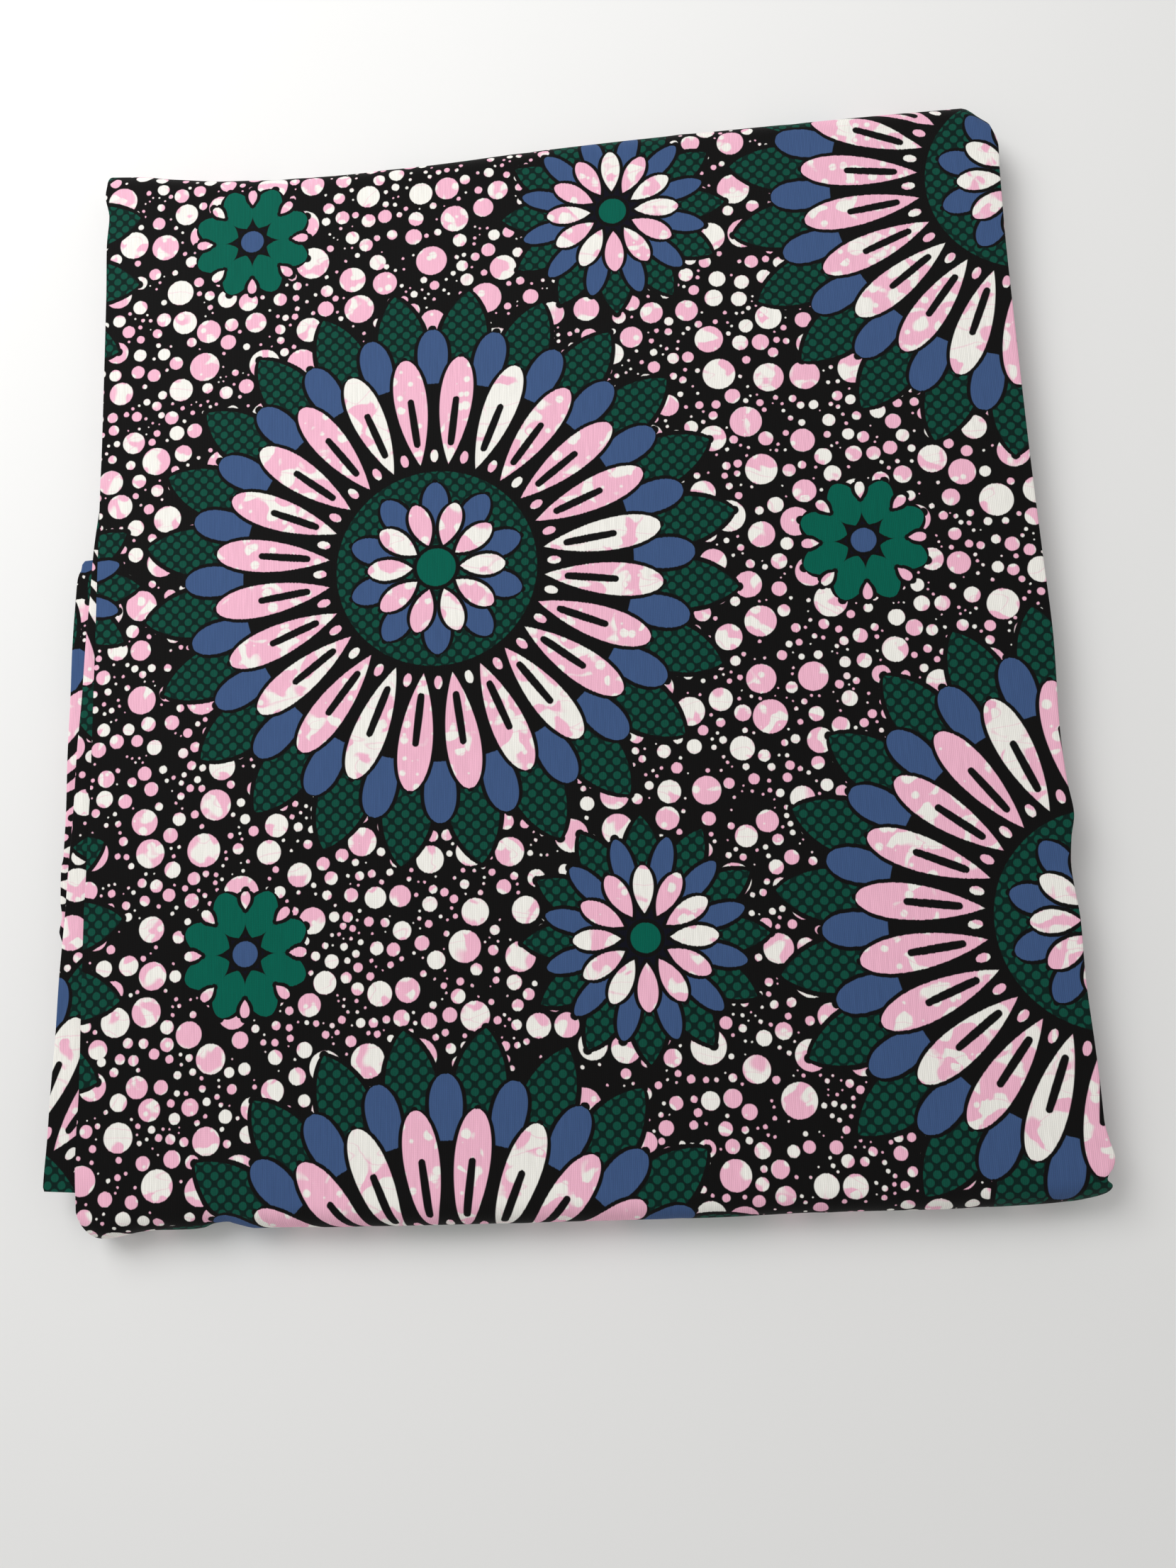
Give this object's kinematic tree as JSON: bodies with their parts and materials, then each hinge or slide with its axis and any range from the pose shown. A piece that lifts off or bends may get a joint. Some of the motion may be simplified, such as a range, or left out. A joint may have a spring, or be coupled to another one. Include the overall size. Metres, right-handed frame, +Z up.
{
  "type": "folded ankara fabric",
  "caption": "Length of printed cotton cloth folded into a flat rectangular packet, round folds at its ends, layered folds at its sides.",
  "frame": {"origin": "bottom centre of the packet's bounding box, on the surface that it rests on", "axes": "+Z up through the layers, +Y along the ribs towards the far fold, +X across the packet to the right"},
  "size_m": [0.414, 0.4708, 0.0189],
  "materials": {
    "printed_panel": "matt ribbed cotton, wax printed in black, pink, white, green and blue",
    "printed_strips": "matt ribbed cotton, the same print where a fold of it shows",
    "printed_layers": "matt ribbed cotton folds, the same print seen edge on"
  },
  "bodies": {
    "root": {"folded_layers": "printed_layers", "third_layer": "printed_strips", "second_layer": "printed_strips", "top_panel": "printed_panel"}
  },
  "joints": []
}
